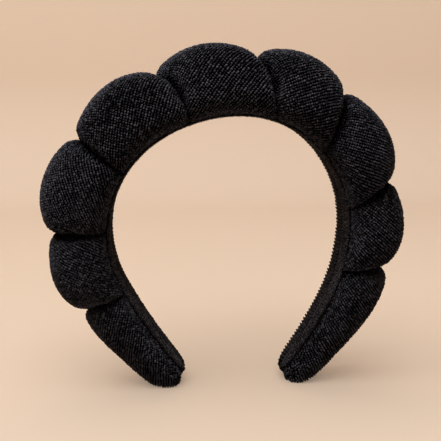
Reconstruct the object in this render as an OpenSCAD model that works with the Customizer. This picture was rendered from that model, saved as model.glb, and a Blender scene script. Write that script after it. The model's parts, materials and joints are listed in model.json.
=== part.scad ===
// Padded bubble headband standing on its two tips.
// One tube of terry cloth over a soft filling, gathered at eight slanted creases into nine puffs,
// with two facing strips along the inner face that meet in a groove along the middle.
// X runs from the left tip to the right tip, Y from front to rear, Z up from the surface it stands on.

/* [Inner arch] */
// Height of the crown of the inner face above the surface
crown_height = 151.2; // [149:0.1:152]
// Sideways place of that crown
crown_shift = 9.2; // [7:0.1:11]
// Lean of the band at the crown, in degrees toward the right
crown_lean = 1.4; // [0.5:0.1:2]

/* [Puffs] */
// Front to rear depth of the fullest puff
puff_depth = 51; // [46:0.5:56]
// Squareness of a puff's cross-section on its outer side: 2 is an ellipse
outer_squareness = 2.5; // [2.2:0.1:3]
// Squareness on the outer side of the two end puffs
end_squareness = 2.1; // [1.9:0.1:2.6]
// Squareness on its inner side
inner_squareness = 3.2; // [2.5:0.1:3.6]
// Share of a puff's height that is pressed flat against the facings
flat_share = 0.09; // [0.05:0.01:0.15]
// How far the gathering thread pulls the cloth in at a crease
crease_pull = 4; // [2:0.5:6]
// Length of the cloth that rolls over into a crease
crease_roll = 3; // [2:0.5:6]

/* [Facings] */
// Thickness of a facing strip
facing_thickness = 2; // [1.5:0.1:3]
// Width of the two facing strips together, along the crown and the sides
facing_width = 38; // [34:0.5:40]
// Width of the two together at the tips
facing_tip_width = 22.5; // [18:0.5:24]
// Length of each arm over which they narrow
facing_taper = 85; // [60:1:100]
// Length over which they are rounded off at the tips
facing_round = 9; // [6:0.5:12]
// Share of their width that is left where they end
facing_end_share = 0.5; // [0.3:0.1:0.8]
// How far short of the tips they stop
facing_short = 4; // [2:0.5:6]
// Squareness of a strip's cross-section
facing_squareness = 3.4; // [2.5:0.1:4]

/* [Fit] */
// Gap between pieces that lie against each other
gap = 0.3; // [0.2:0.05:0.5]
// Gap between two puffs, measured along the band
crease_gap = 0.6; // [0.4:0.1:1]

/* [Resolution] */
// Points around a puff
puff_sides = 26; // [20:2:28]
// Rings along a puff
puff_rings = 14; // [12:1:15]
// Points around a facing strip
facing_sides = 12; // [10:2:14]
// Rings along a facing strip
facing_rings = 64; // [50:1:70]

/* [Hidden] */

cloth_colour = "#1a1718";
facing_colour = "#242021";

// The inner face on each side of the crown: tangent arcs, from the crown down to the tip
ARC_LENGTH = 0;
ARC_RADIUS = 1;
right_arcs = [
    [48, 56],
    [48, 65.5],
    [42, 99],
    [60, 266]
];
left_arcs = [
    [48, 77.5],
    [48, 59.5],
    [42, 63.5],
    [70, 326]
];

// The creases between the puffs, from the left tip to the right one.
// PLACE is measured along the inner face from the crown, and HEIGHT above the facings.
// At a tip, LIFT raises the inner side of the rounded end, and PULL is 0 because nothing gathers it.
// TOP_LEAN and FRONT_LEAN move the crease along the band on its outer side and on its front.
PLACE = 0;
HEIGHT = 1;
HALF_DEPTH = 2;
LIFT = 3;
PULL = 4;
TOP_LEAN = 5;
FRONT_LEAN = 6;
creases = [
    [-202.5, 7.5,  5.0,  3.5, 0.0, -4.0, 0.0],
    [-139.6, 23.8, 17.5, 0.0, 1.0, 1.1,  0.9],
    [-105.0, 29.6, 20.5, 0.0, 1.0, -1.2, 0.1],
    [-72.0,  31.2, 22.0, 0.0, 0.8, 1.0,  1.4],
    [-32.6,  28.5, 22.5, 0.0, 1.0, -1.5, 5.0],
    [11.0,   29.9, 22.5, 0.0, 1.0, -6.9, 1.0],
    [44.0,   30.6, 22.0, 0.0, 0.8, -6.7, -2.4],
    [79.2,   26.2, 20.5, 0.0, 1.0, -4.9, -2.3],
    [114.4,  23.0, 17.5, 0.0, 1.0, -3.7, -1.5],
    [189.0,  7.0,  5.0,  3.5, 0.0, 3.0,  0.0]
];

// The puffs in the same order. A full height and a share of the full depth are given at each end.
// The swell between two creases is (1 - |x|^power)^SWELL_ROOT for x from -1 to 1,
// with LEFT_POWER where x is negative and RIGHT_POWER where it is positive.
LEFT_HEIGHT = 0;
RIGHT_HEIGHT = 1;
LEFT_DEPTH = 2;
RIGHT_DEPTH = 3;
LEFT_POWER = 4;
RIGHT_POWER = 5;
SWELL_ROOT = 6;
puffs = [
    [16.0, 29.4, 0.45, 0.82, 9, 4, 0.6],
    [32.6, 32.6, 0.88, 0.88, 2,  2, 1.0],
    [37.0, 37.0, 0.96, 0.96, 2,  2, 1.0],
    [36.5, 36.5, 1.00, 1.00, 2,  2, 1.0],
    [36.0, 36.0, 1.00, 1.00, 2,  2, 1.0],
    [36.2, 36.2, 1.00, 1.00, 2,  2, 1.0],
    [34.5, 34.5, 0.96, 0.96, 2,  2, 1.0],
    [30.6, 30.6, 0.88, 0.88, 2,  2, 1.0],
    [30.6, 14.0, 0.82, 0.45, 4, 9, 0.6]
];

left_tip = creases[0][PLACE];
right_tip = creases[len(creases) - 1][PLACE];
facing_left = left_tip + facing_short;
facing_right = right_tip - facing_short;
puff_base = facing_thickness + gap;

// Point and outward angle at a distance down one side, seen as if it were the right-hand side
function down_side(arcs, distance, x, z, angle, k = 0) =
    let (
        radius = arcs[k][ARC_RADIUS],
        last = k == len(arcs) - 1 || distance <= arcs[k][ARC_LENGTH],
        turn = (last ? distance : arcs[k][ARC_LENGTH]) / radius * 180 / PI,
        x_next = x + radius * (sin(angle + turn) - sin(angle)),
        z_next = z + radius * (cos(angle + turn) - cos(angle))
    )
    last ? [x_next, z_next, angle + turn]
         : down_side(arcs, distance - arcs[k][ARC_LENGTH], x_next, z_next, angle + turn, k + 1);

function mirrored(p) = [-p[0], p[1], -p[2]];

function inner_face(place) =
    place >= 0 ? down_side(right_arcs, place, crown_shift, crown_height, crown_lean)
               : mirrored(down_side(left_arcs, -place, -crown_shift, crown_height, -crown_lean));

// A point over the inner face, kept on or above the surface that the tips stand on
function over_face(place, y, height) =
    let (p = inner_face(place))
    [p[0] + height * sin(p[2]), y, max(p[1] + height * cos(p[2]), 0)];

function blend(a, b, t) = a + (b - a) * t;
function blunt(value, power) = sign(value) * pow(abs(value), 2 / power);

// Rings of points to one closed surface, with a point in the middle of each end
function middle(ring) = [for (axis = [0:2]) (max([for (p = ring) p[axis]]) + min([for (p = ring) p[axis]])) / 2];
module skin(rings) {
    sides = len(rings[0]);
    last = len(rings) - 1;
    points = concat([for (ring = rings) each ring], [middle(rings[0]), middle(rings[last])]);
    wall = [
        for (i = [0:last - 1], j = [0:sides - 1])
            let (a = i * sides + j, b = i * sides + (j + 1) % sides)
            each [[a, b + sides, b], [a, a + sides, b + sides]]
    ];
    start = [for (j = [0:sides - 1]) [(last + 1) * sides, j, (j + 1) % sides]];
    end = [for (j = [0:sides - 1]) [(last + 1) * sides + 1, last * sides + (j + 1) % sides, last * sides + j]];
    polyhedron(points, concat(wall, start, end));
}

// Puffs
function swell(t, puff) =
    pow(max(0, 1 - pow(abs(2 * t - 1), puff[t < 0.5 ? LEFT_POWER : RIGHT_POWER])), puff[SWELL_ROOT]);

// How far the cloth is drawn in at a distance from a crease
function drawn_in(distance, crease) =
    let (u = 1 - min(1, distance / crease_roll))
    crease[PULL] * crease_pull * (1 - sqrt(1 - u * u));

function crease_place(crease, angle) =
    crease[PLACE] + crease[TOP_LEAN] * cos(angle) + crease[FRONT_LEAN] * sin(angle);

// One ring of a puff at a share t of the way from its left crease to its right one.
// The angle runs from the outer side over the front to the inner side and the rear.
function puff_ring(k, t) =
    let (
        puff = puffs[k],
        left = creases[k],
        right = creases[k + 1],
        outer = k == 0 || k == len(puffs) - 1 ? end_squareness : outer_squareness,
        swelling = swell(t, puff),
        span = right[PLACE] - left[PLACE],
        pull = drawn_in(t * span, left) + drawn_in((1 - t) * span, right),
        low = blend(left[HEIGHT], right[HEIGHT], t),
        slim = blend(left[HALF_DEPTH], right[HALF_DEPTH], t),
        full = blend(puff[LEFT_HEIGHT], puff[RIGHT_HEIGHT], t),
        wide = blend(puff[LEFT_DEPTH], puff[RIGHT_DEPTH], t) * puff_depth / 2,
        lift = blend(left[LIFT], right[LIFT], t) * (1 - swelling),
        height = blend(low, full, swelling) - pull,
        half_depth = blend(slim, wide, swelling) - pull
    )
    [
        for (j = [0:puff_sides - 1])
            let (
                angle = 360 * j / puff_sides,
                squareness = cos(angle) > 0 ? outer : inner_squareness,
                raised = 0.5 * (1 + blunt(cos(angle), squareness)),
                flattened = max(0, raised - flat_share) / (1 - flat_share),
                place = blend(
                    crease_place(left, angle) + crease_gap / 2,
                    crease_place(right, angle) - crease_gap / 2,
                    t
                )
            )
            over_face(
                place,
                -half_depth * blunt(sin(angle), squareness),
                puff_base + lift + height * flattened
            )
    ];

module puff(k)
    color(cloth_colour)
        skin([for (i = [0:puff_rings]) puff_ring(k, (1 - cos(180 * i / puff_rings)) / 2)]);

module left_end() puff(0);
module left_lower_puff() puff(1);
module left_side_puff() puff(2);
module left_upper_puff() puff(3);
module crown_puff() puff(4);
module right_upper_puff() puff(5);
module right_side_puff() puff(6);
module right_lower_puff() puff(7);
module right_end() puff(8);

// Facings
function facing_half_width(place) =
    let (
        to_tip = min(place - facing_left, facing_right - place),
        tapered = blend(facing_tip_width, facing_width, min(1, to_tip / facing_taper)) / 2,
        u = 1 - min(1, to_tip / facing_round)
    )
    tapered * sqrt(1 - (1 - facing_end_share * facing_end_share) * u * u);

function facing_ring(place, side) =
    let (
        inner_edge = gap / 2,
        strip = (facing_half_width(place) - inner_edge) / 2
    )
    [
        for (j = [0:facing_sides - 1])
            let (angle = 360 * (j + 0.5) / facing_sides)
            over_face(
                place,
                side * (inner_edge + strip) - strip * blunt(sin(angle), facing_squareness),
                facing_thickness / 2 * (1 + blunt(cos(angle), facing_squareness))
            )
    ];

module facing(side)
    color(facing_colour)
        skin([for (i = [0:facing_rings]) facing_ring(blend(facing_left, facing_right, i / facing_rings), side)]);

module front_facing() facing(-1);
module rear_facing() facing(1);

left_end();
left_lower_puff();
left_side_puff();
left_upper_puff();
crown_puff();
right_upper_puff();
right_side_puff();
right_lower_puff();
right_end();
front_facing();
rear_facing();
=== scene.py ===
import json
import math

import bmesh
import bpy
import numpy as np
from mathutils import Matrix, Vector
from mathutils.bvhtree import BVHTree

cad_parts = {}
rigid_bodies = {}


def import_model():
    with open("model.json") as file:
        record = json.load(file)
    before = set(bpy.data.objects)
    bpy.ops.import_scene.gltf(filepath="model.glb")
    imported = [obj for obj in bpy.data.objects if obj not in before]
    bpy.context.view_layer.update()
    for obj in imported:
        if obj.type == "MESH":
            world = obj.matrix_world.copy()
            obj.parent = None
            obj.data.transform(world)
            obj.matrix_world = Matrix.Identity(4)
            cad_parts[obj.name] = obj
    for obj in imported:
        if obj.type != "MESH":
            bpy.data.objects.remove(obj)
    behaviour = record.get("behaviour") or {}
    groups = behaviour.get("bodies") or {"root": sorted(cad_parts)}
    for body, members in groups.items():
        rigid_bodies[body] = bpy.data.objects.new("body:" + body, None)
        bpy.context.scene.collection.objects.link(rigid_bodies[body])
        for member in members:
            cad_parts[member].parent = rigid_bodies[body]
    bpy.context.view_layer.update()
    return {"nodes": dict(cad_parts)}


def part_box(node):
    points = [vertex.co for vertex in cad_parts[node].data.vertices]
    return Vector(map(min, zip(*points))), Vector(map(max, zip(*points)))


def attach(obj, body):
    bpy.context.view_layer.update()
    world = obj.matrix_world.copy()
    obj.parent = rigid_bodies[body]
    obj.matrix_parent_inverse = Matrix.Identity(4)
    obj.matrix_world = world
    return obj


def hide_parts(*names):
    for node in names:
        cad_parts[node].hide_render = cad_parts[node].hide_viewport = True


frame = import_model()
mm = 0.001
touching = 0.001 * mm       # corners closer than this are one
deg = math.radians
archCentre = Vector((0, 0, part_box("crown_puff")[1].z / 2))


def srgb(hexColour):
    # An sRGB hex value as a linear colour
    channels = [int(hexColour[i:i + 2], 16) / 255 for i in (1, 3, 5)]
    linear = [c / 12.92 if c <= 0.04045 else ((c + 0.055) / 1.055) ** 2.4 for c in channels]
    return (*linear, 1)


def addNode(tree, kind, inputs=None, **options):
    # One node: its own settings first, then its inputs, each linked to a socket or given a value
    node = tree.nodes.new(kind)
    for name, value in options.items():
        setattr(node, name, value)
    for key, value in (inputs or {}).items():
        if isinstance(value, bpy.types.NodeSocket):
            tree.links.new(value, node.inputs[key])
        else:
            node.inputs[key].default_value = value
    return node


def newObject(name, mesh):
    piece = bpy.data.objects.new(name, mesh)
    bpy.context.scene.collection.objects.link(piece)
    return piece


def finishedMesh(piece):
    # The piece with its modifiers worked out, as a mesh of its own
    graph = bpy.context.evaluated_depsgraph_get()
    return bpy.data.meshes.new_from_object(
        piece.evaluated_get(graph), preserve_all_data_layers=True, depsgraph=graph)


# Stage, camera and light
stage = {                   # a tray of paper with swept walls, plain behind the band from every side
    "paper": "#d8c4b0",
    "halfWidth": 1.7,
    "front": -1.9,
    "back": 0.62,
    "wallTop": 1.6,
    "sweepRadius": 0.15,
    "sweepSteps": 14,
}
view = {
    "from": (-0.0350, -0.4150, 0.1866),
    "at": (-0.0022, 0.0, 0.0931),
    "lens": 63.2,
    "sensor": 36,
}
# The key is flagged off the paper, and the paper's own lights pass the band by: "lit" says what a light
# reaches, and "shadow" whether the band casts one in it
lights = {
    "top": {"at": (-0.16, -0.12, 1.1), "size": 1.3, "watts": 6.4, "lit": "both", "shadow": True},
    "key": {"at": (-0.26, -0.22, 1.1), "size": 0.6, "watts": 17.0, "lit": "band", "shadow": True},
    "frontLeft": {"at": (-0.7, -1.3, 0.8), "size": 1.2, "watts": 6.2, "lit": "paper", "shadow": False},
    "frontRight": {"at": (0.7, -1.3, 0.8), "size": 1.2, "watts": 0.7, "lit": "paper", "shadow": False},
    "left": {"at": (-1.0, -0.2, 1.0), "size": 1.2, "watts": 5.7, "lit": "paper", "shadow": True},
    "right": {"at": (1.0, -0.2, 1.0), "size": 1.2, "watts": 5.1, "lit": "paper", "shadow": False},
    "overhead": {"at": (0.0, -0.8, 1.4), "size": 1.3, "watts": 5.7, "lit": "paper", "shadow": False},
}
litGroups = {name: bpy.data.collections.new(name) for name in ("band", "paper")}
surroundings = {"colour": "#ffffff", "strength": 0.03}  # the little that the studio adds to the lights


def paperMaterial():
    # Seamless background paper: uncoated, fully matt, one even warm beige
    material = bpy.data.materials.new("seamlessPaper")
    material.use_nodes = True
    shader = material.node_tree.nodes["Principled BSDF"]
    shader.inputs["Base Color"].default_value = srgb(stage["paper"])
    shader.inputs["Roughness"].default_value = 0.95
    shader.inputs["Specular IOR Level"].default_value = 0.1
    return material


def buildStage():
    bm = bmesh.new()
    bmesh.ops.create_grid(bm, x_segments=1, y_segments=1, size=0.5)
    bmesh.ops.scale(bm, verts=bm.verts, vec=(2 * stage["halfWidth"], stage["back"] - stage["front"], 1))
    bmesh.ops.translate(bm, verts=bm.verts, vec=(0, (stage["back"] + stage["front"]) / 2, 0))
    footEdges = bm.edges[:]
    wall = bmesh.ops.extrude_edge_only(bm, edges=footEdges)["geom"]
    topVerts = [part for part in wall if isinstance(part, bmesh.types.BMVert)]
    bmesh.ops.translate(bm, verts=topVerts, vec=(0, 0, stage["wallTop"]))
    upright = [edge for edge in bm.edges
               if abs(edge.verts[0].co.z - edge.verts[1].co.z) > stage["wallTop"] / 2]
    bmesh.ops.bevel(bm, geom=footEdges + upright, offset=stage["sweepRadius"],
                    segments=stage["sweepSteps"], affect="EDGES", profile=0.5, material=-1)
    bmesh.ops.recalc_face_normals(bm, faces=bm.faces)
    for face in bm.faces:
        face.smooth = True
    mesh = bpy.data.meshes.new("backdrop")
    bm.to_mesh(mesh)
    bm.free()
    mesh.materials.append(paperMaterial())
    backdrop = newObject("backdrop", mesh)
    litGroups["paper"].objects.link(backdrop)


def standAndAim(holder, place):
    # Puts a light or the camera in its place and turns it to the band
    holder.location = place
    holder.rotation_euler = (Vector(view["at"]) - Vector(place)).to_track_quat("-Z", "Y").to_euler()
    bpy.context.scene.collection.objects.link(holder)


def buildLight():
    for name, spec in lights.items():
        lamp = bpy.data.lights.new(name, "AREA")
        lamp.shape = "DISK"
        lamp.size = spec["size"]
        lamp.energy = spec["watts"]
        holder = bpy.data.objects.new(name, lamp)
        if spec["lit"] in litGroups:
            holder.light_linking.receiver_collection = litGroups[spec["lit"]]
        if not spec["shadow"]:
            holder.light_linking.blocker_collection = litGroups["paper"]
        standAndAim(holder, spec["at"])
    world = bpy.data.worlds.new("studio")
    world.use_nodes = True
    background = world.node_tree.nodes["Background"]
    background.inputs["Color"].default_value = srgb(surroundings["colour"])
    background.inputs["Strength"].default_value = surroundings["strength"]
    bpy.context.scene.world = world
    bpy.context.scene.view_settings.view_transform = "Standard"


def buildCamera():
    lens = bpy.data.cameras.new("camera")
    lens.lens = view["lens"]
    lens.sensor_width = view["sensor"]
    lens.clip_start = 0.01
    camera = bpy.data.objects.new("camera", lens)
    standAndAim(camera, view["from"])
    bpy.context.scene.camera = camera


buildStage()
buildLight()
buildCamera()
print("stage, light and camera stand")


# A solid's rings, walked on a merged copy
def alongBand(vert):
    away = vert.co - archCentre
    return math.atan2(away.x, away.z)


def orderRing(start, members):
    # The members joined to each other, from the start round by the front
    ring = [start]
    used = {start}
    while True:
        ahead = [edge.other_vert(ring[-1]) for edge in ring[-1].link_edges]
        ahead = [vert for vert in ahead if vert in members and vert not in used]
        if not ahead:
            return ring
        ring.append(min(ahead, key=lambda vert: vert.co.y))
        used.add(ring[-1])


def beyond(edge, done):
    return next(vert for face in edge.link_faces for vert in face.verts if vert not in done)


def startFrom(rings, inner):
    # Every ring from its inner or outer middle, and round by the front
    middle = rings[len(rings) // 2]
    centreLine = sum(vert.co.y for vert in middle) / len(middle)
    centred = sorted(middle, key=lambda vert: abs(vert.co.y - centreLine))[:2]
    nearest = min if inner else max
    first = middle.index(nearest(centred, key=lambda vert: (vert.co - archCentre).length))
    rings = [ring[first:] + ring[:first] for ring in rings]
    ahead = rings[len(rings) // 2]
    if ahead[1].co.y > ahead[0].co.y:
        rings = [ring[:1] + ring[:0:-1] for ring in rings]
    return rings


def walkRings(bm, inner):
    poles = sorted(sorted(bm.verts, key=lambda vert: len(vert.link_edges))[-2:], key=alongBand)
    members = {edge.other_vert(poles[0]) for edge in poles[0].link_edges}
    ring = orderRing(min(members, key=lambda vert: abs(vert.co.y)), members)
    rings = []
    done = {poles[0]}
    while True:
        rings.append(ring)
        done.update(ring)
        facing = [beyond(bm.edges.get((ring[k - 1], ring[k])), done) for k in range(len(ring))]
        if facing[0] == poles[1]:
            return startFrom(rings, inner), poles
        turned = facing[1:] + facing[:1]
        straight = sum((a.co - b.co).length for a, b in zip(facing, ring))
        slanted = sum((a.co - b.co).length for a, b in zip(turned, ring))
        ring = facing if straight < slanted else turned


def lengthsRound(ring):
    # Signed distance round the band from the outer middle: more than 0 by the front, less by the rear
    half = len(ring) // 2
    front = [0.0]
    for k in range(half):
        front.append(front[-1] + (ring[k + 1].co - ring[k].co).length)
    rear = [0.0]
    for k in range(half):
        rear.append(rear[-1] - (ring[-k - 1].co - ring[-k].co).length)
    return front, rear


def lengthsAlong(rings, k):
    # Signed distance along the band from the middle ring
    middle = len(rings) // 2
    lengths = [0.0]
    for ring, following in zip(rings, rings[1:]):
        lengths.append(lengths[-1] + (following[k].co - ring[k].co).length)
    return [length - lengths[middle] for length in lengths]


easing = {
    "rounds": 500,
    "give": 1.5,            # how much of what a thread lacks is made up in a round
    "capIsland": 400 * mm,  # place in the map of what closes an end
}


def easeMap(flat, places):
    # Lets the flat map give until its threads have the lengths that they have on the puff
    rows, columns = places.shape[:2]
    index = np.arange(rows * columns).reshape(rows, columns)
    pairs = np.concatenate([np.stack([one.ravel(), other.ravel()], axis=1) for one, other in (
        (index[:-1], index[1:]), (index[:, :-1], index[:, 1:]),
        (index[:-1, :-1], index[1:, 1:]), (index[:-1, 1:], index[1:, :-1]))])
    one, other = pairs.T
    spots = flat.reshape(-1, 2)
    points = places.reshape(-1, 3)
    trueLength = np.linalg.norm(points[other] - points[one], axis=1)
    threads = np.bincount(pairs.ravel())[:, None]
    for _ in range(easing["rounds"]):
        apart = spots[other] - spots[one]
        length = np.linalg.norm(apart, axis=1)
        pull = apart * ((length - trueLength) / (2 * length))[:, None]
        give = np.zeros_like(spots)
        np.add.at(give, one, pull)
        np.add.at(give, other, -pull)
        spots = spots + give * easing["give"] / threads
    return spots.reshape(flat.shape)


def mapCloth(bm, rings, poles, covered, ease):
    # The cloth's own flat map in metres: x along the band, y round it, cut along the inner middle
    layer = bm.loops.layers.uv["cloth"]
    sides = len(rings[0])
    half = sides // 2
    along = [lengthsAlong(rings, k) for k in range(sides)]
    flat = np.zeros((len(rings), sides + 1, 2))
    places = np.zeros((len(rings), sides + 1, 3))
    for i, ring in enumerate(rings):
        front, rear = lengthsRound(ring)
        for j in range(-half, half + 1):
            reach = front[j] if j >= 0 else rear[-j]
            flat[i, j + half] = along[j % sides][i], -reach
            places[i, j + half] = ring[j % sides].co
    if ease:
        flat = easeMap(flat, places)
    spot = {vert: (i, k) for i, ring in enumerate(rings) for k, vert in enumerate(ring)}
    for face in bm.faces:
        known = [spot[vert] for vert in face.verts if vert in spot]
        rear = any(k > half for i, k in known)
        for loop in face.loops:
            if loop.vert in spot:
                i, k = spot[loop.vert]
                column = k - sides if rear and k > 0 else k
                loop[layer].uv = flat[i, column + half]
        if len(known) == len(face.verts):
            continue
        end = next(vert for vert in face.verts if vert in poles)
        sign = -1 if end == poles[0] else 1
        base = [loop for loop in face.loops if loop.vert != end]
        for loop in face.loops:
            if end != covered:
                away = loop.vert.co - end.co
                height = away.xz.length * (1 if away.z > 0 else -1)
                loop[layer].uv = (sign * easing["capIsland"] + away.y, height)
            elif loop.vert == end:
                depth = sum((other.vert.co - end.co).length for other in base) / 2
                loop[layer].uv = (base[0][layer].uv + base[1][layer].uv) / 2 + Vector((sign * depth, 0))


# "bare" is 1 where nothing stands on the cloth, "room" says how far it sinks for what does, the crease
# shade is 1 deep in a gather, where it darkens the colour as painted shade, and "torn" is 1 where the
# rows of a tip run out
clothMarks = ("bare", "room", "fold", "torn")


def cagedCopy(node, inner=False, ease=False):
    # A CAD solid as a merged mesh of four-sided faces, with its cloth map and the rings' places
    bm = bmesh.new()
    bm.from_mesh(frame["nodes"][node].data)
    bm.loops.layers.uv.new("cloth")
    for name in clothMarks:
        bm.verts.layers.float.new(name)
    bm.verts.layers.deform.verify()
    bmesh.ops.remove_doubles(bm, verts=bm.verts, dist=touching)
    rings, poles = walkRings(bm, inner)
    tip = min(poles, key=lambda vert: vert.co.z) if node.endswith("end") else None
    mapCloth(bm, rings, poles, tip, ease)
    sides = len(rings[0])
    slanted = []
    for ring, following in zip(rings, rings[1:]):
        for k in range(sides):
            for other in (following[k - 1], following[(k + 1) % sides]):
                edge = bm.edges.get((ring[k], other))
                if edge:
                    slanted.append(edge)
    bmesh.ops.dissolve_edges(bm, edges=slanted, use_verts=False)
    return bm, rings, poles


# Materials
clothShades = {
    "patches": 60,              # scale of the slow change over a piece: a patch is about 17 mm
    "patchShare": 0.4,
    "yarnPower": 2.0,           # most yarns are dark, a few much paler
    "yarnShare": 0.45,
    "fibreShare": 0.8,
    "ramp": (0.48, 1.17),       # the sums of the three that get the darkest and the palest shade
    "creaseShadeDepth": 0.85,             # painted shade: share of its colour that the cloth loses deep in a gather
    "relief": 0.6,              # strength of the fibres' bump
    "sheenRoughness": 0.5,
    "sheenTint": "#b8a8a4",
}


def plainCloth(name, shades, roughness, gloss, sheen, grain):
    # A dyed cloth: its shade varies from yarn to yarn by the attribute "tone", slowly over the piece and,
    # with the grain in metres, from fibre to fibre, and an attribute of painted shade darkens it in the
    # gathers.
    # A real fibre, about 0.02 mm thick, is too fine to show, so the grain is that of clumps of fibres
    material = bpy.data.materials.new(name)
    material.use_nodes = True
    tree = material.node_tree
    shader = tree.nodes["Principled BSDF"]
    place = addNode(tree, "ShaderNodeTexCoord").outputs["Object"]
    tone = addNode(tree, "ShaderNodeAttribute", attribute_name="tone").outputs["Fac"]
    bright = addNode(tree, "ShaderNodeMath", {0: tone, 1: clothShades["yarnPower"]}, operation="POWER")
    patches = addNode(tree, "ShaderNodeTexNoise", {
        "Vector": place, "Scale": clothShades["patches"], "Detail": 2})
    slow = addNode(tree, "ShaderNodeMath", {
        0: patches.outputs["Fac"], 1: clothShades["patchShare"]}, operation="MULTIPLY")
    fibres = addNode(tree, "ShaderNodeTexNoise", {
        "Vector": place, "Scale": 1 / grain, "Detail": 3, "Roughness": 0.6}).outputs["Fac"]
    mixed = addNode(tree, "ShaderNodeMath", {
        0: bright.outputs["Value"], 1: clothShades["yarnShare"], 2: slow.outputs["Value"],
    }, operation="MULTIPLY_ADD")
    mixed = addNode(tree, "ShaderNodeMath", {
        0: fibres, 1: clothShades["fibreShare"], 2: mixed.outputs["Value"]}, operation="MULTIPLY_ADD")
    ramp = addNode(tree, "ShaderNodeValToRGB", {"Fac": mixed.outputs["Value"]})
    for element, position, shade in zip(ramp.color_ramp.elements, clothShades["ramp"], shades):
        element.position = position
        element.color = srgb(shade)
    # Painted shade: the colour is darkened towards the gathers, most at each crease
    fold = addNode(tree, "ShaderNodeAttribute", attribute_name="fold").outputs["Fac"]
    lit = addNode(tree, "ShaderNodeMath", {
        0: fold, 1: -clothShades["creaseShadeDepth"], 2: 1.0}, operation="MULTIPLY_ADD")
    creaseShaded = addNode(tree, "ShaderNodeVectorMath", {
        0: ramp.outputs["Color"], "Scale": lit.outputs["Value"]}, operation="SCALE")
    bump = addNode(tree, "ShaderNodeBump", {
        "Height": fibres, "Strength": clothShades["relief"], "Distance": grain / 3})
    tree.links.new(creaseShaded.outputs["Vector"], shader.inputs["Base Color"])
    tree.links.new(bump.outputs["Normal"], shader.inputs["Normal"])
    shader.inputs["Roughness"].default_value = roughness
    shader.inputs["Specular IOR Level"].default_value = gloss
    shader.inputs["Sheen Weight"].default_value = sheen
    shader.inputs["Sheen Roughness"].default_value = clothShades["sheenRoughness"]
    shader.inputs["Sheen Tint"].default_value = srgb(clothShades["sheenTint"])
    return material


# Polyester terry, loop-knit and piece-dyed black: matt loops, each a shade apart from the next, on a
# slightly uneven dye
terryPile = plainCloth("loopKnitTerry", ("#040405", "#424249"), 0.7, 0.03, 0.0, 0.7 * mm)
# The knit ground under the loops, seen only down between them: its colour darkened to near black as
# painted shade, and dull
terryGround = plainCloth("terryGround", ("#030303", "#060506"), 1.0, 0.0, 0.0, 0.5 * mm)
# Polyester jersey brushed to a short nap: dull from the front, a little paler where the light grazes it
brushedJersey = plainCloth("brushedJersey", ("#0b0b0c", "#4d4a4f"), 0.95, 0.05, 0.08, 0.6 * mm)
# The knit backing under that nap: darker, so that the nap reads as fine fluff
jerseyBacking = plainCloth("jerseyBacking", ("#070707", "#242124"), 1.0, 0.0, 0.0, 0.6 * mm)
# Thick chained yarn, knitted: smooth plump strands with a little gloss
chainKnit = plainCloth("chainKnit", ("#040404", "#2d2a2d"), 0.75, 0.08, 0.03, 0.3 * mm)
# What lies between and under the strands: shaded, so near black
chainBacking = plainCloth("chainBacking", ("#020202", "#070607"), 1.0, 0.0, 0.0, 0.4 * mm)


# What stands on the cloths: loops, chain stitches and nap, set out in rows over the flat map
terryLoop = {                   # thicker than a real yarn, so that a loop shows as a grain of its rib
    "radius": 0.35 * mm,        # of the arch's middle line
    "yarnRadius": 0.40 * mm,
    "sides": 3,
    "steps": 3,
    "turn": deg(210),
    "flatten": 1.5,             # the yarn lies wide across the rib
    "stand": 0.35 * mm,         # of the arch's centre over the ground
}
chainStitch = {
    "length": 2.3 * mm,
    "radius": 0.50 * mm,
    "sides": 5,
    "steps": 4,
    "wide": 1.15,               # shares of the radius
    "high": 0.8,
    "slant": deg(30),
    "halfGap": 0.50 * mm,
    "stand": 0.1 * mm,
}
napTuft = {                     # brushed fibres that cling together, coarser than real so that they show
    "length": 1.0 * mm,
    "radius": 0.38 * mm,
    "sides": 3,
    "stand": 0.2,               # share of its length that it stands off by
}


def toPiece(bm, name, material):
    bmesh.ops.recalc_face_normals(bm, faces=bm.faces)
    for face in bm.faces:
        face.smooth = True
    mesh = bpy.data.meshes.new(name)
    bm.to_mesh(mesh)
    bm.free()
    mesh.materials.append(material)
    return newObject(name, mesh)


def buildLoop():
    # One arch of yarn standing on its two ends, its plane along x
    bm = bmesh.new()
    ring = bmesh.ops.create_circle(
        bm, cap_ends=True, segments=terryLoop["sides"], radius=terryLoop["yarnRadius"])["verts"]
    bmesh.ops.rotate(bm, verts=ring, cent=(0, 0, 0), matrix=Matrix.Rotation(-math.pi / 2, 3, "Z"))
    bmesh.ops.scale(bm, verts=ring, vec=(1, terryLoop["flatten"], 1))
    bmesh.ops.translate(bm, verts=ring, vec=(terryLoop["radius"], 0, 0))
    sink = Matrix.Rotation((terryLoop["turn"] - math.pi) / 2, 3, "Y")
    bmesh.ops.rotate(bm, verts=ring, cent=(0, 0, 0), matrix=sink)
    bmesh.ops.spin(bm, geom=bm.verts[:] + bm.edges[:] + bm.faces[:], cent=(0, 0, 0), axis=(0, -1, 0),
                   angle=terryLoop["turn"], steps=terryLoop["steps"])
    bmesh.ops.translate(bm, verts=bm.verts, vec=(0, 0, terryLoop["stand"]))
    return toPiece(bm, "yarnLoop", terryPile)


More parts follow.
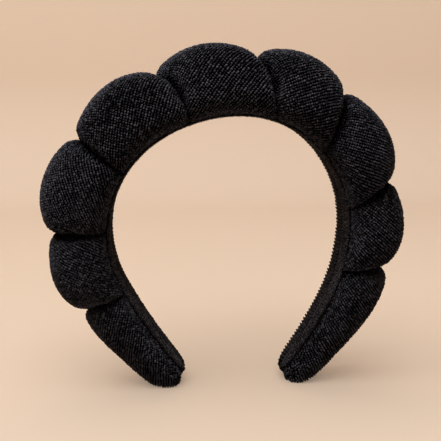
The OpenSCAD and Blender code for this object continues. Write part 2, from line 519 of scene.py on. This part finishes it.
def buildStitch():
    # A pair of plump strands that lean together like a V along y
    bm = bmesh.new()
    for side in (-1, 1):
        strand = bmesh.ops.create_uvsphere(
            bm, u_segments=chainStitch["sides"], v_segments=chainStitch["steps"],
            radius=chainStitch["radius"])["verts"]
        stretch = chainStitch["length"] / chainStitch["radius"] / 2
        bmesh.ops.scale(bm, verts=strand, vec=(chainStitch["wide"], chainStitch["high"], stretch))
        for angle, axis in ((math.pi / 2, "X"), (side * chainStitch["slant"], "Z")):
            bmesh.ops.rotate(bm, verts=strand, cent=(0, 0, 0), matrix=Matrix.Rotation(angle, 3, axis))
        aside = side * chainStitch["halfGap"]
        bmesh.ops.translate(bm, verts=strand, vec=(aside, 0, chainStitch["stand"]))
    return toPiece(bm, "chainStitch", chainKnit)


def buildTuft():
    bm = bmesh.new()
    bmesh.ops.create_cone(bm, cap_ends=True, segments=napTuft["sides"], radius1=napTuft["radius"],
                          radius2=0, depth=napTuft["length"])
    bmesh.ops.remove_doubles(bm, verts=bm.verts, dist=touching)
    bmesh.ops.translate(bm, verts=bm.verts, vec=(0, 0, napTuft["length"] * napTuft["stand"]))
    return toPiece(bm, "napTuft", brushedJersey)


rowValues = ("Long", "Wide", "Turn", "Across", "Along", "Jitter", "Lean", "Yaw", "Swirl", "Spread",
             "Fade", "Apart", "Room")
rowRules = {
    "ahead": 0.5 * mm,      # how far ahead on the map a shape looks for its heading
    "bareFrom": 0.93,       # where the cloth is barer than this, no row stands
    "fillFrom": 0.8,        # and no single shape where it is barer than this
    "swirlScale": 55,       # a patch of one swirl is about 18 mm
    "densest": 4e6,         # single shapes a square metre, before those too near each other go
    "tornGive": 0.35,       # at the tips they may stand this share nearer to the rows
}


def rowNodes():
    # Nodes that stand a small shape in rows on a cloth by its flat map
    tree = bpy.data.node_groups.new("rowsOnCloth", "GeometryNodeTree")
    face = tree.interface
    face.new_socket("Cloth", in_out="INPUT", socket_type="NodeSocketGeometry")
    face.new_socket("Shape", in_out="INPUT", socket_type="NodeSocketObject")
    for name in rowValues:
        face.new_socket(name, in_out="INPUT", socket_type="NodeSocketFloat")
    face.new_socket("Seed", in_out="INPUT", socket_type="NodeSocketInt")
    face.new_socket("Cloth", in_out="OUTPUT", socket_type="NodeSocketGeometry")
    start = addNode(tree, "NodeGroupInput").outputs
    cloth = start["Cloth"]
    place = addNode(tree, "GeometryNodeInputPosition").outputs["Position"]
    normal = addNode(tree, "GeometryNodeInputNormal").outputs["Normal"]
    stored = {}
    for name, kind in (("cloth", "FLOAT_VECTOR"), ("bare", "FLOAT"), ("fold", "FLOAT"), ("torn", "FLOAT"),
                       ("spot", "FLOAT_VECTOR"), ("turned", "QUATERNION"), ("size", "FLOAT")):
        stored[name] = addNode(
            tree, "GeometryNodeInputNamedAttribute", {"Name": name}, data_type=kind).outputs[0]
    chance = {}
    for later, (name, corner, reach) in enumerate((
            ("shift", (1, 1, 0), start["Jitter"]), ("lean", (1, 1, 0), start["Lean"]),
            ("yaw", (0, 0, 1), start["Yaw"]), ("looseLean", (1, 1, 0), start["Lean"]),
            ("looseTurn", (0, 0, math.pi), 1.0))):
        seed = addNode(tree, "ShaderNodeMath", {0: start["Seed"], 1: later}).outputs["Value"]
        drawn = addNode(tree, "FunctionNodeRandomValue", {
            0: tuple(-c for c in corner), 1: corner, "Seed": seed}, data_type="FLOAT_VECTOR").outputs[0]
        chance[name] = addNode(tree, "ShaderNodeVectorMath", {
            0: drawn, "Scale": reach}, operation="SCALE").outputs["Vector"]

    # A flat sheet of points in rows, turned to the ribs
    counts = {}
    for axis, size, step in (("Vertices X", "Long", "Across"), ("Vertices Y", "Wide", "Along")):
        counts[axis] = addNode(
            tree, "ShaderNodeMath", {0: start[size], 1: start[step]}, operation="DIVIDE").outputs["Value"]
    sheet = addNode(tree, "GeometryNodeMeshGrid", {
        "Size X": start["Long"], "Size Y": start["Wide"]} | counts).outputs["Mesh"]
    shifted = addNode(tree, "ShaderNodeVectorMath", {0: place, 1: chance["shift"]}).outputs["Vector"]
    laid, ahead = [
        addNode(tree, "ShaderNodeVectorRotate", {"Vector": flat, "Angle": start["Turn"]},
                rotation_type="Z_AXIS").outputs["Vector"]
        for flat in (shifted, (0, rowRules["ahead"], 0))]
    marked = addNode(tree, "GeometryNodeStoreNamedAttribute", {
        "Geometry": sheet, "Name": "spot", "Value": laid,
    }, data_type="FLOAT_VECTOR", domain="POINT").outputs["Geometry"]
    nextSpot = addNode(tree, "ShaderNodeVectorMath", {0: stored["spot"], 1: ahead}).outputs["Vector"]

    # What the cloth says at each point's spot on the flat map
    found = {}
    for name, value, where, kind in (
            ("place", place, stored["spot"], "FLOAT_VECTOR"), ("next", place, nextSpot, "FLOAT_VECTOR"),
            ("upward", normal, stored["spot"], "FLOAT_VECTOR"),
            ("bare", stored["bare"], stored["spot"], "FLOAT"),
            ("fold", stored["fold"], stored["spot"], "FLOAT")):
        found[name] = addNode(tree, "GeometryNodeSampleUVSurface", {
            "Mesh": cloth, "Value": value, "Source UV Map": stored["cloth"], "Sample UV": where,
        }, data_type=kind).outputs
    bare = found["bare"]["Value"]
    clothed = addNode(tree, "FunctionNodeCompare", {
        0: bare, 1: rowRules["bareFrom"]}, data_type="FLOAT", operation="LESS_THAN").outputs["Result"]
    onCloth = addNode(tree, "FunctionNodeBooleanMath", {
        0: found["place"]["Is Valid"], 1: found["next"]["Is Valid"]}, operation="AND").outputs[0]
    kept = addNode(tree, "FunctionNodeBooleanMath", {0: onCloth, 1: clothed}, operation="AND").outputs[0]
    unused = addNode(tree, "FunctionNodeBooleanMath", {0: kept}, operation="NOT").outputs[0]

    # How each shape stands: up from the cloth, heading along its row, with some swirl, lean and yaw
    forward = addNode(tree, "ShaderNodeVectorMath", {
        0: found["next"]["Value"], 1: found["place"]["Value"]}, operation="SUBTRACT").outputs["Vector"]
    standing = addNode(tree, "FunctionNodeAxesToRotation", {
        "Primary Axis": found["upward"]["Value"], "Secondary Axis": forward,
    }, primary_axis="Z", secondary_axis="X").outputs["Rotation"]
    swirl = addNode(tree, "ShaderNodeTexNoise", {
        "Vector": stored["spot"], "Scale": rowRules["swirlScale"], "Detail": 1}).outputs["Fac"]
    swirl = addNode(tree, "ShaderNodeMath", {0: swirl, 1: 0.5}, operation="SUBTRACT").outputs["Value"]
    swirl = addNode(tree, "ShaderNodeMath", {
        0: swirl, 1: start["Swirl"]}, operation="MULTIPLY").outputs["Value"]
    swirl = addNode(tree, "ShaderNodeCombineXYZ", {"Z": swirl}).outputs["Vector"]
    yaw = addNode(tree, "ShaderNodeVectorMath", {0: chance["yaw"], 1: swirl}).outputs["Vector"]
    euler = addNode(tree, "ShaderNodeVectorMath", {0: chance["lean"], 1: yaw}).outputs["Vector"]
    lean = addNode(tree, "FunctionNodeEulerToRotation", {"Euler": euler}).outputs["Rotation"]
    leaning = addNode(tree, "FunctionNodeRotateRotation", {
        "Rotation": standing, "Rotate By": lean}, rotation_space="LOCAL").outputs["Rotation"]
    least = addNode(tree, "ShaderNodeMath", {0: 1, 1: start["Spread"]}, operation="SUBTRACT")
    most = addNode(tree, "ShaderNodeMath", {0: 1, 1: start["Spread"]}, operation="ADD")
    wide = addNode(tree, "FunctionNodeRandomValue", {
        2: least.outputs["Value"], 3: most.outputs["Value"], "Seed": start["Seed"],
    }, data_type="FLOAT").outputs[1]
    faded = addNode(tree, "ShaderNodeMath", {0: bare, 1: start["Fade"]}, operation="MULTIPLY")
    faded = addNode(tree, "ShaderNodeMath", {0: 1, 1: faded.outputs["Value"]}, operation="SUBTRACT")
    size = addNode(tree, "ShaderNodeMath", {0: wide, 1: faded.outputs["Value"]}, operation="MULTIPLY")
    # Each loop carries the painted shade of the crease beside it
    for name, kind, value in (("turned", "QUATERNION", leaning), ("size", "FLOAT", size.outputs["Value"]),
                              ("fold", "FLOAT", found["fold"]["Value"])):
        marked = addNode(tree, "GeometryNodeStoreNamedAttribute", {
            "Geometry": marked, "Name": name, "Value": value,
        }, data_type=kind, domain="POINT").outputs["Geometry"]
    moved = addNode(tree, "GeometryNodeSetPosition", {
        "Geometry": marked, "Selection": kept, "Position": found["place"]["Value"]}).outputs["Geometry"]
    rows = addNode(tree, "GeometryNodeDeleteGeometry", {
        "Geometry": moved, "Selection": unused}).outputs["Geometry"]
    rows = addNode(tree, "GeometryNodeMeshToPoints", {"Mesh": rows}).outputs["Points"]

    # Where the rows part, at the gathers and round the tips, single shapes fill the room
    clothed = addNode(tree, "FunctionNodeCompare", {
        0: stored["bare"], 1: rowRules["fillFrom"]}, data_type="FLOAT", operation="LESS_THAN")
    between = addNode(tree, "GeometryNodeDistributePointsOnFaces", {
        "Mesh": cloth, "Distance Min": start["Apart"], "Density Max": rowRules["densest"],
        "Density Factor": clothed.outputs["Result"], "Seed": start["Seed"],
    }, distribute_method="POISSON").outputs
    euler = addNode(tree, "ShaderNodeVectorMath", {0: chance["looseLean"], 1: chance["looseTurn"]})
    anyTurn = addNode(tree, "FunctionNodeEulerToRotation", {"Euler": euler.outputs["Vector"]})
    loose = addNode(tree, "FunctionNodeRotateRotation", {
        "Rotation": between["Rotation"], "Rotate By": anyTurn.outputs["Rotation"],
    }, rotation_space="LOCAL").outputs["Rotation"]
    fill = between["Points"]
    for name, kind, value in (("turned", "QUATERNION", loose), ("size", "FLOAT", wide)):
        fill = addNode(tree, "GeometryNodeStoreNamedAttribute", {
            "Geometry": fill, "Name": name, "Value": value,
        }, data_type=kind, domain="POINT").outputs["Geometry"]
    nearest = addNode(tree, "GeometryNodeProximity", {0: rows}, target_element="POINTS")
    given = addNode(tree, "ShaderNodeMath", {
        0: stored["torn"], 1: rowRules["tornGive"]}, operation="MULTIPLY").outputs["Value"]
    given = addNode(tree, "ShaderNodeMath", {0: 1, 1: given}, operation="SUBTRACT").outputs["Value"]
    needed = addNode(tree, "ShaderNodeMath", {0: start["Room"], 1: given}, operation="MULTIPLY")
    tooNear = addNode(tree, "FunctionNodeCompare", {
        0: nearest.outputs["Distance"], 1: needed.outputs["Value"],
    }, data_type="FLOAT", operation="LESS_THAN")
    fill = addNode(tree, "GeometryNodeDeleteGeometry", {
        "Geometry": fill, "Selection": tooNear.outputs["Result"]}).outputs["Geometry"]
    points = addNode(tree, "GeometryNodeJoinGeometry", {"Geometry": fill})
    tree.links.new(rows, points.inputs["Geometry"])

    # Real shapes on the points, each in a tone of its own, joined to their cloth
    shape = addNode(tree, "GeometryNodeObjectInfo", {"Object": start["Shape"]}).outputs["Geometry"]
    shapes = addNode(tree, "GeometryNodeInstanceOnPoints", {
        "Points": points.outputs["Geometry"], "Instance": shape,
        "Rotation": stored["turned"], "Scale": stored["size"]}).outputs["Instances"]
    each = addNode(tree, "GeometryNodeInputIndex").outputs["Index"]  # joined points share one ID
    tone = addNode(tree, "FunctionNodeRandomValue", {
        2: 0.0, 3: 1.0, "ID": each, "Seed": start["Seed"]}, data_type="FLOAT").outputs[1]
    toned = addNode(tree, "GeometryNodeStoreNamedAttribute", {
        "Geometry": shapes, "Name": "tone", "Value": tone,
    }, data_type="FLOAT", domain="INSTANCE").outputs["Geometry"]
    real = addNode(tree, "GeometryNodeRealizeInstances", {"Geometry": toned}).outputs["Geometry"]
    joined = addNode(tree, "GeometryNodeJoinGeometry", {"Geometry": real})
    tree.links.new(cloth, joined.inputs["Geometry"])
    addNode(tree, "NodeGroupOutput", {"Cloth": joined.outputs["Geometry"]})
    return tree


smallShapes = {"loop": buildLoop(), "stitch": buildStitch(), "tuft": buildTuft()}
rowTree = rowNodes()


def setInRows(piece, shape, values):
    # Stands one of the small shapes on the piece in rows, as mesh
    step = piece.modifiers.new("rows", "NODES")
    step.node_group = rowTree
    for item in rowTree.interface.items_tree:
        if item.in_out == "INPUT" and item.name in values:
            step[item.identifier] = values[item.name]
        if item.in_out == "INPUT" and item.name == "Shape":
            step[item.identifier] = smallShapes[shape]
    piece.data = finishedMesh(piece)
    piece.modifiers.clear()


# Puffs: each starts from its solid, is blown up a little as cloth, then gets its pile
# "ribs" is the lean of the ribs on the flat map in degrees, "pitch" the millimetres across and along them
puffs = {
    "left_end": {"ribs": -55, "pitch": (1.35, 1.20)},
    "left_lower_puff": {"ribs": 47, "pitch": (1.30, 1.20)},
    "left_side_puff": {"ribs": 30, "pitch": (1.35, 1.25)},
    "left_upper_puff": {"ribs": 38, "pitch": (1.40, 1.30)},
    "crown_puff": {"ribs": 39, "pitch": (1.50, 1.30)},
    "right_upper_puff": {"ribs": 33, "pitch": (1.40, 1.30)},
    "right_side_puff": {"ribs": 40, "pitch": (1.38, 1.25)},
    "right_lower_puff": {"ribs": 49, "pitch": (1.35, 1.25)},
    "right_end": {"ribs": 70, "pitch": (1.42, 1.20)},
}
pile = {
    "Long": 190 * mm,       # of the sheet of loops, before the map cuts it
    "Wide": 190 * mm,
    "Jitter": 0.14 * mm,
    "Lean": deg(20),
    "Yaw": deg(20),
    "Swirl": deg(150),      # the loops turn slowly from patch to patch
    "Spread": 0.22,
    "Apart": 0.95 * mm,     # between the loops that fill what the rows leave bare
    "Fade": 0.25,           # the loops grow short towards the facings
    "spare": 0.05 * mm,     # more than half the way between rows, that a loop which fills needs
}
filling = {
    "heldRings": 1,         # rings at each crease that the gathering thread holds
    "sewnShare": 0.55,      # share of the inner face, from its middle, that lies under the facings
    "creaseShadeWidth": 5.5 * mm,  # beside each crease, where the cloth's colour is darkened as painted shade
    "creaseShadeFall": 1.2,        # power by which that falls off
    "gather": 2.5 * mm,     # that the thread draws the front and the rear of each crease in
    "tipLength": 3.5 * mm,  # at the tips the terry wraps the end, past the facings
    "footLength": 9 * mm,   # and rounds off
    "tipHeight": 20 * mm,   # an end's pole under this is its tip's
    "sink": 1.85 * mm,      # room for the pile and for the filling's pressure
    "sinkAtFoot": 0.65,     # share of it there, and beside the facings
    "sinkBeside": 0.25,
    "sinkAtCrease": 0.15,   # and at a crease, from which it grows ring by ring
    "sinkGrowth": 0.45,
    "levels": 2,            # of the smooth surface
    "simScale": 50,         # the solver wants cloth of a metre or more
    "pressure": 4.0,
    "spareCloth": 0.05,     # as a share of its size: it puckers at the gathers
    "frames": 20,
    "mass": 0.3,
    "stiffness": 15,
    "bending": 0.5,
    "mostMove": 1.4 * mm,
}


def smoothQuads(piece, levels):
    fine = piece.modifiers.new("fine", "SUBSURF")
    fine.levels = fine.render_levels = levels
    piece.data = finishedMesh(piece)
    piece.modifiers.clear()


def cornersOf(mesh):
    places = np.zeros(len(mesh.vertices) * 3)
    mesh.vertices.foreach_get("co", places)
    return places.reshape(-1, 3)


def setCorners(mesh, places):
    mesh.vertices.foreach_set("co", places.ravel())
    mesh.update()


def treeOf(piece):
    mesh = piece.data
    corners = [vert.co for vert in mesh.vertices]
    return BVHTree.FromPolygons(corners, [face.vertices for face in mesh.polygons])


def startPuff(node):
    bm, rings, poles = cagedCopy(node, ease=True)
    sides = len(rings[0])
    held = bm.verts.layers.deform.active
    bare, room, fold, torn = [bm.verts.layers.float[name] for name in clothMarks]
    along = [lengthsAlong(rings, k) for k in range(sides)]
    lowest = min(vert.co.z for vert in bm.verts)
    for i, ring in enumerate(rings):
        fromCrease = min(i, len(rings) - 1 - i)
        halfDepth = max(abs(vert.co.y) for vert in ring)
        for k, vert in enumerate(ring):
            atTip = node.endswith("end") and vert.co.z - lowest < filling["tipLength"]
            atFoot = node.endswith("end") and vert.co.z - lowest < filling["footLength"]
            inside = abs(k - sides / 2) <= sides / 4
            hidden = inside and abs(vert.co.y) < halfDepth * filling["sewnShare"] and not atTip
            if hidden or (fromCrease < filling["heldRings"] and not atFoot):
                vert[held][0] = 1.0
            # Painted shade: the cloth's colour is marked to darken towards each crease
            fromGather = min(along[k][i] - along[k][0], along[k][-1] - along[k][i])
            creaseShaded = max(0.0, 1 - fromGather / filling["creaseShadeWidth"])
            vert[fold] = 0.0 if atFoot else creaseShaded ** filling["creaseShadeFall"]
            vert[torn] = 1.0 if atFoot and fromCrease == 0 else 0.0
            if hidden:
                vert[room] = 0.0
            elif atFoot:
                vert[room] = filling["sinkAtFoot"]
            elif inside:
                vert[room] = filling["sinkBeside"]
            else:
                vert[room] = min(1.0, filling["sinkAtCrease"] + fromCrease * filling["sinkGrowth"])
        if fromCrease == 0 and not atFoot:
            centre = sum((vert.co for vert in ring), Vector()) / sides
            for k, vert in enumerate(ring):
                pull = filling["gather"] * math.sin(2 * math.pi * k / sides) ** 2
                vert.co += (centre - vert.co).normalized() * pull
    for pole in poles:
        pole[held][0] = 1.0
        atTip = node.endswith("end") and pole.co.z < filling["tipHeight"]
        pole[bare] = 0.0 if atTip else 1.0
        pole[torn] = 1.0 if atTip else 0.0
    piece = toPiece(bm, node + "_cloth", terryGround)
    piece.vertex_groups.new(name="held")
    smoothQuads(piece, filling["levels"])
    mesh = piece.data
    outward = np.zeros(len(mesh.vertices) * 3)
    mesh.vertices.foreach_get("normal", outward)
    share = np.zeros(len(mesh.vertices))
    mesh.attributes["room"].data.foreach_get("value", share)
    setCorners(mesh, cornersOf(mesh) - outward.reshape(-1, 3) * filling["sink"] * share[:, None])
    return piece


def blowUp(pieces):
    # Cloth simulation: the filling presses the cloth out against the gathers, then no point moves too far
    flat = {}
    for piece in pieces:
        flat[piece] = cornersOf(piece.data)
        piece.data.transform(Matrix.Scale(filling["simScale"], 4))
        cloth = piece.modifiers.new("cloth", "CLOTH")
        cloth.settings.mass = filling["mass"]
        cloth.settings.tension_stiffness = filling["stiffness"]
        cloth.settings.compression_stiffness = filling["stiffness"]
        cloth.settings.bending_stiffness = filling["bending"]
        cloth.settings.vertex_group_mass = "held"
        cloth.settings.use_pressure = True
        cloth.settings.uniform_pressure_force = filling["pressure"]
        cloth.settings.shrink_min = -filling["spareCloth"]
        cloth.settings.effector_weights.gravity = 0
        cloth.collision_settings.use_collision = False
        cloth.point_cache.frame_start = 1
        cloth.point_cache.frame_end = filling["frames"]
    for frameNumber in range(1, filling["frames"] + 1):
        bpy.context.scene.frame_set(frameNumber)
    for piece in pieces:
        blown = cornersOf(finishedMesh(piece)) / filling["simScale"]
        piece.modifiers.clear()
        move = blown - flat[piece]
        length = np.linalg.norm(move, axis=1, keepdims=True)
        move *= np.minimum(1, filling["mostMove"] / np.maximum(length, touching))
        setCorners(piece.data, flat[piece] + move)
    bpy.context.scene.frame_set(1)


started = {node: startPuff(node) for node in puffs}
blowUp(list(started.values()))
print("puffs blown up")


# Facings: the front strip is brushed jersey, the rear one a chain-knitted strip
facings = {                     # "Across" and "Along" are the pitch of what stands on the strip
    "front_facing": {
        "ground": jerseyBacking, "shape": "tuft",
        "rows": {"Across": 1.05 * mm, "Along": 1.05 * mm, "Jitter": 0.45 * mm, "Lean": deg(60),
                 "Yaw": deg(180), "Swirl": 0.0, "Spread": 0.35, "Fade": 0.0, "Apart": 5 * mm,
                 "Room": 1.0},
    },
    "rear_facing": {
        "ground": chainBacking, "shape": "stitch",
        "rows": {"Across": 2.0 * mm, "Along": 2.1 * mm, "Jitter": 0.12 * mm, "Lean": deg(7),
                 "Yaw": deg(5), "Swirl": 0.0, "Spread": 0.10, "Fade": 0.9, "Apart": 5 * mm,
                 "Room": 1.0},
    },
}
# Both strips' rows are cut from a sheet that lies straight along the strip
bothStrips = {"Long": 480 * mm, "Wide": 44 * mm, "Turn": 0.0, "Seed": 500}
strip = {
    "edge": 0.6,            # share of the thickness that goes at the edge beside the terry
    "edgeFall": 3,          # power by which that falls off from the edge
    "mostThinning": 0.85,
    "length": 12 * mm,      # of each end
    "straight": 0.5,        # share of it that only grows thinner, before the rest bends down to the terry
    "thin": 0.8,            # share of the thickness left at the very end
    "wrap": 3.0 * mm,       # past the end of its solid
    "lift": 1.3 * mm,       # over the terry's ground, level with its loops
    "liftFall": 4,          # powers by which the lift ends and the hem tucks in towards the very end
    "tuck": 0.8 * mm,       # of the hem into the terry
    "tuckFall": 12,
    "cuts": 3,              # more rings in each of the last gaps
    "hiddenShare": 0.35,    # of the way round, from the middle of the back, that lies on the puffs
    "endFade": 0.5,         # what stands on the strip grows short at its ends
    "poleFade": 0.9,
    "levels": 1,            # of the smooth surface
}


def splitEnds(bm, rings, cuts):
    # More rings in the last two gaps at each end, so that the strip can bend there
    for i in (len(rings) - 2, len(rings) - 3, 1, 0):
        for j in range(cuts):
            share = 1 / (cuts + 1 - j)
            added = [bmesh.utils.edge_split(bm.edges.get(pair), pair[0], share)[1]
                     for pair in zip(rings[i + j], rings[i + j + 1])]
            for vert, following in zip(added, added[1:] + added[:1]):
                face = next(face for face in vert.link_faces if following in face.verts)
                bmesh.utils.face_split(face, vert, following)
            rings.insert(i + j + 1, added)


def layStrip(ring, away, onward, terry):
    # Thins the strip's edge, and lays its end, away from 0 to 1, on the terry of the tip
    outer = ring[len(ring) // 2].co.copy()
    thickness = (outer - ring[0].co).length
    outward = (outer - ring[0].co).normalized()
    centreLine = sum(vert.co.y for vert in ring) / len(ring)
    halfWidth = max(abs(vert.co.y - centreLine) for vert in ring)
    hug = max(0.0, away - strip["straight"]) / (1 - strip["straight"])
    for vert in ring:
        depth = (outer - vert.co).dot(outward)
        toTerry = max(0.0, (abs(vert.co.y) - abs(centreLine)) / halfWidth)
        thinning = min(strip["mostThinning"], toTerry ** strip["edgeFall"] * strip["edge"])
        straight = vert.co + outward * depth * thinning
        foot = vert.co + outward * depth + onward * strip["wrap"] * away ** 2
        spot, upward = terry.find_nearest(foot)[:2]
        height = depth * (1 - thinning) * (1 - away ** 2 * (1 - strip["thin"]))
        height += strip["lift"] * depth / thickness * (1 - away ** strip["liftFall"])
        height -= strip["tuck"] * away ** strip["tuckFall"]
        vert.co = straight.lerp(spot + upward * height, hug)


def buildFacing(node):
    tips = [treeOf(started["left_end"]), treeOf(started["right_end"])]
    bm, rings, poles = cagedCopy(node, inner=True)
    splitEnds(bm, rings, strip["cuts"])
    bare = bm.verts.layers.float["bare"]
    sides = len(rings[0])
    spine = [ring[0].co.copy() for ring in rings]
    lengths = [0.0]
    for here, following in zip(spine, spine[1:]):
        lengths.append(lengths[-1] + (following - here).length)
    for i, ring in enumerate(rings):
        atStart = lengths[i] < lengths[-1] / 2
        onward = (spine[0] - spine[1] if atStart else spine[-1] - spine[-2]).normalized()
        fromEnd = lengths[i] if atStart else lengths[-1] - lengths[i]
        away = max(0.0, 1 - fromEnd / strip["length"])
        layStrip(ring, away, onward, tips[0 if spine[i].x < 0 else 1])
        for k, vert in enumerate(ring):
            hidden = abs(k - sides / 2) <= sides / 2 * strip["hiddenShare"]
            vert[bare] = 1.0 if hidden else away * strip["endFade"]
    for pole, ring in zip(poles, (rings[0], rings[-1])):
        pole.co = sum((vert.co for vert in ring), Vector()) / len(ring)
        pole[bare] = strip["poleFade"]
    piece = toPiece(bm, node + "_strip", facings[node]["ground"])
    smoothQuads(piece, strip["levels"])
    return piece


def finishFacing(piece, node):
    spec = facings[node]
    setInRows(piece, spec["shape"], spec["rows"] | bothStrips)
    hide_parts(node)
    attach(piece, "root")
    litGroups["band"].objects.link(piece)


laid = {node: buildFacing(node) for node in facings}
print("facings laid")


# The pile: loops stand wherever no facing lies on the terry
probe = {"under": 1.0 * mm, "reach": 5.0 * mm, "bareFrom": 0.9}


def markBare(piece, overlays):
    # Feels from a little under the cloth straight out to the facings
    mesh = piece.data
    bare = mesh.attributes["bare"].data
    for vert in mesh.vertices:
        start = vert.co - vert.normal * probe["under"]
        covered = any(overlay.ray_cast(start, vert.normal, probe["reach"])[0] for overlay in overlays)
        bare[vert.index].value = 1.0 if covered or bare[vert.index].value > probe["bareFrom"] else 0.0


def finishPuff(piece, node, seed):
    across, along = puffs[node]["pitch"]
    setInRows(piece, "loop", pile | {
        "Turn": deg(puffs[node]["ribs"] - 90), "Across": across * mm, "Along": along * mm, "Seed": seed,
        "Room": math.hypot(across, along) / 2 * mm + pile["spare"]})
    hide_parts(node)
    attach(piece, "root")
    litGroups["band"].objects.link(piece)


overlays = [treeOf(piece) for piece in laid.values()]
for seed, (node, piece) in enumerate(started.items()):
    markBare(piece, overlays)
    finishPuff(piece, node, 10 * seed)
    print(node, len(piece.data.polygons), "faces")
for node, piece in laid.items():
    finishFacing(piece, node)
    print(node, len(piece.data.polygons), "faces")
for shape in smallShapes.values():
    bpy.data.objects.remove(shape)
cadPieces = list(frame["nodes"].values())
added = sum(len(face.vertices) - 2 for piece in bpy.data.objects
            if piece.type == "MESH" and piece not in cadPieces for face in piece.data.polygons)
print("triangles added:", added)
